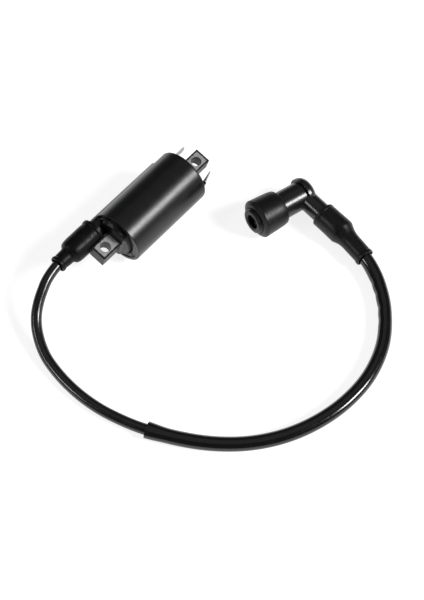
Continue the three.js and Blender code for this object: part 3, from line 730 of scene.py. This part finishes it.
def tower_boot():
    """A stretched boot over the tower: thin lip, shoulder, neck with a rolled end, flat beside the ear."""
    outline = closed_outline([
        (-73.6, 4.6, 0.25), (-73.6, 5.6, 0.4), (-71.6, 5.75, 0.5), (-71.0, 5.2, 0.4), (-63.9, 5.6, 1.2),
        (-62.2, 8.0, 1.8), (-58, 8.45, 1.5), (-46, 8.6, 2), (-42.4, 8.35, 0.5), (-41.7, 9.0, 0.35),
        (-39.6, 9.0, 0.4), (-39.6, 7.0, 0.3), (-53, 7.0), (-56, 4.6), (-73.6, 4.6, 0.25),
    ], 1.0)
    vertices, faces = turned(outline, 112)
    vertices = unevenness(vertices, 6, 0.1, 1)
    flat = (TOWER_OFFSET - CORE_WIDTH / 2 - TOWER_BOOT_EAR_GAP) * MM
    for vertex in vertices:
        if vertex.x > TOWER_BOOT_FLAT_START * MM:
            vertex.y = max(vertex.y, -flat)
    return piece("tower_boot_skin", (vertices, faces), TOWER, "tower_boot", tower_boot_look(),
                 ["tower_boot"], crease=60)


# ---------------------------------------------------------------- the plug cap

BARREL_RADIUS = 9.5
ARM_RADIUS = 6.95
HEAD_RADIUS = 11.4
PLUG_BOOT_LIFT = 0.2
DENT_DEPTH = 0.7
DENT_REACH = 2.6


def cap_barrel():
    outline = rounded([
        (-2.2, 0), (-2.2, BARREL_RADIUS, 0.6), (31, BARREL_RADIUS, 0.5), (31, 5.6, 0.4), (12.7, 5.6),
        (12.7, 3.6), (-1, 3.6), (-1, 0),
    ])
    return piece("cap_barrel", turned(outline, 128), BARREL, "cap", phenolic_look(), ["cap_body"])


def cap_arm():
    outline = rounded([
        (2.6, 0), (2.6, ARM_RADIUS, 3.0), (31, ARM_RADIUS, 0.5), (31, 4.0, 0.4), (13.9, 4.0), (13.9, 0),
    ])
    return piece("cap_arm", turned(outline, 112), ARM, "cap", phenolic_look())


def cap_head():
    outline = rounded([
        (-7.3, 0), (-7.3, 5.6, 3.4), (-5.3, 9.9, 2.6), (-2.4, HEAD_RADIUS, 1.0), (0.4, HEAD_RADIUS, 0.3),
        (0.4, BARREL_RADIUS - 0.4), (-2.0, BARREL_RADIUS - 0.4), (-2.0, 0),
    ], 8)
    return piece("cap_head", turned(outline, 128), BARREL, "cap", phenolic_look(),
                 ["cap_head_cover"], crease=50)


def plug_boot():
    """A heavy boot with a stepped nose and a ribbed mouth for the spark plug."""
    outline = closed_outline([
        (19.1, 9.6, 0.3), (19.1, 11.85, 0.9), (22.5, 12.5, 1.0), (37.2, 13.35, 0.5), (38.6, 10.9, 0.4),
        (38.8, 9.4, 0.2), (38.4, 9.0, 0.2), (41.3, 8.4, 0.5), (41.5, 6.2, 0.3), (41.0, 5.0, 0.4),
        (39.2, 4.9, 0.3), (38.7, 5.4, 0.3), (38.0, 5.4, 0.3), (37.5, 4.9, 0.3), (36.4, 4.9, 0.3),
        (35.9, 5.4, 0.3), (35.2, 5.4, 0.3), (34.7, 4.9, 0.3), (31.4, 4.9), (31.4, 9.6), (19.1, 9.6, 0.3),
    ], 0.9)
    vertices, faces = turned(outline, 128)
    vertices = unevenness(vertices, 7, 0.05, 2)
    # What would reach under the floor is flattened to just above it
    for index, vertex in enumerate(vertices):
        resting = BARREL @ vertex
        resting.z = max(resting.z, PLUG_BOOT_LIFT * MM)
        vertices[index] = BARREL.inverted() @ resting
    return piece("plug_boot_skin", (vertices, faces), BARREL, "plug_boot", boot_look(),
                 ["plug_boot"], crease=55)


def lead_boot():
    """A wide end over the arm, a cone, and a neck with a beaded mouth that turns a little from the arm."""
    bend = LEAD_BOOT_BEND
    outline = closed_outline([
        (20.3, 7.5, 0.3), (20.3, 8.75, 0.5), (22.3, 8.85, 0.3), (22.6, 8.5, 0.2), (23.3, 8.75, 0.3),
        (bend + 1.0, 8.95, 0.7), (bend + 3.4, 7.85, 1.0), (bend + 6.2, 6.85, 1.2), (bend + 9.8, 6.4, 1.0),
        (bend + 22.2, 6.25, 0.4), (bend + 22.9, 6.6, 0.3), (bend + 25, 6.55, 0.4), (bend + 25, 5.6, 0.25),
        (bend + 6, 5.6), (33, 7.5), (20.3, 7.5, 0.3),
    ], 0.9)
    vertices, faces = turned(outline, 112)
    vertices = unevenness(vertices, 6, 0.06, 3)
    dent = Vector((bend + 1.5, -4.6, 7.2)) * MM
    for index, vertex in enumerate(vertices):
        depth = DENT_DEPTH * math.exp(-((vertex - dent).length / (DENT_REACH * MM)) ** 2)
        axis_point = Vector((vertex.x, 0, 0))
        vertex = vertex + (axis_point - vertex).normalized() * depth * MM
        on_arm = ARM @ vertex
        on_neck = NECK @ (vertex - Vector((bend * MM, 0, 0)))
        vertices[index] = on_arm.lerp(on_neck, smooth(bend - 3, bend + 4, vertex.x / MM))
    return piece("lead_boot_skin", (vertices, faces), Matrix.Identity(4), "lead_boot", boot_look(),
                 ["lead_boot"], crease=55)


# ---------------------------------------------------------------- CAD nodes that stay, with better looks

def inner_looks():
    brass = metal_look("inner_brass", (0.72, 0.6, 0.32), 0.3)
    looks = {
        "copper": wound_look(),
        "former_nylon": nylon_look(),
        "ceramic": ceramic_look(),
        "spring_steel": metal_look("spring_steel", (0.55, 0.56, 0.57), 0.25),
        "tinned_brass": brass,
        "black_resin": resin_look(),
    }
    for subpart in frame["record"]["subparts"]:
        node = frame["nodes"][subpart["node"]]
        look = looks.get(subpart["material_slot"])
        if look and not node.hide_render:
            node.data.materials.clear()
            node.data.materials.append(look)
            node.data.shade_smooth()
            node.data.set_sharp_from_angle(angle=math.radians(35))


# ---------------------------------------------------------------- studio

FLOOR_SIZE = 6
FLOOR_GREY = (0.55, 0.55, 0.55)
FLOOR_CLOUD = (0.54, 0.54, 0.542)
FLOOR_GLOW = 0.82
WORLD_STRENGTH = 0.08


def floor():
    """A pale paper floor that gives off some light of its own, which hides most of the shadows on it."""
    bpy.ops.mesh.primitive_plane_add(size=FLOOR_SIZE, location=(0, 0, 0))
    ground = bpy.context.object
    ground.name = "floor"
    look = Look("floor_paper", FLOOR_GREY, 0.9, specular=0.05)
    look.tinted(look.ranged(look.noise(60, 3), 0.4, 0.7, 0, 1), FLOOR_CLOUD)
    look.shader.inputs["Emission Color"].default_value = (1, 1, 1, 1)
    look.shader.inputs["Emission Strength"].default_value = FLOOR_GLOW
    ground.data.materials.append(look.material)


def sun(name, azimuth, elevation, strength, spread):
    """A soft sun in a direction and of a width given in degrees."""
    data = bpy.data.lights.new(name, "SUN")
    data.energy = strength
    data.angle = math.radians(spread)
    lamp = bpy.data.objects.new(name, data)
    towards = Vector((
        math.cos(math.radians(elevation)) * math.cos(math.radians(azimuth)),
        math.cos(math.radians(elevation)) * math.sin(math.radians(azimuth)),
        math.sin(math.radians(elevation)),
    ))
    lamp.rotation_euler = towards.to_track_quat("Z", "Y").to_euler()
    bpy.context.scene.collection.objects.link(lamp)


def studio():
    scene = bpy.context.scene
    scene.view_settings.view_transform = "Standard"
    world = bpy.data.worlds.new("studio")
    world.use_nodes = True
    world.node_tree.nodes["Background"].inputs["Color"].default_value = (1, 1, 1, 1)
    world.node_tree.nodes["Background"].inputs["Strength"].default_value = WORLD_STRENGTH
    scene.world = world
    floor()
    sun("right", azimuth=-65, elevation=36, strength=2.35, spread=18)
    sun("left", azimuth=148, elevation=32, strength=0.4, spread=12)
    sun("top", azimuth=60, elevation=79, strength=0.16, spread=60)


# ---------------------------------------------------------------- making

add_camera()
lead = lead_jacket()
sleeve = lead_sleeve()
housing()
potted_end()
tower_stub()
laminations()
terminal("left", LEFT_BLADE_Y, 0)
terminal("right", RIGHT_BLADE_Y, RIGHT_BLADE_LEAN)
skins = [tower_boot(), lead_boot(), plug_boot()]
cap_pieces = [cap_barrel(), cap_arm(), cap_head()]
inner_looks()
studio()
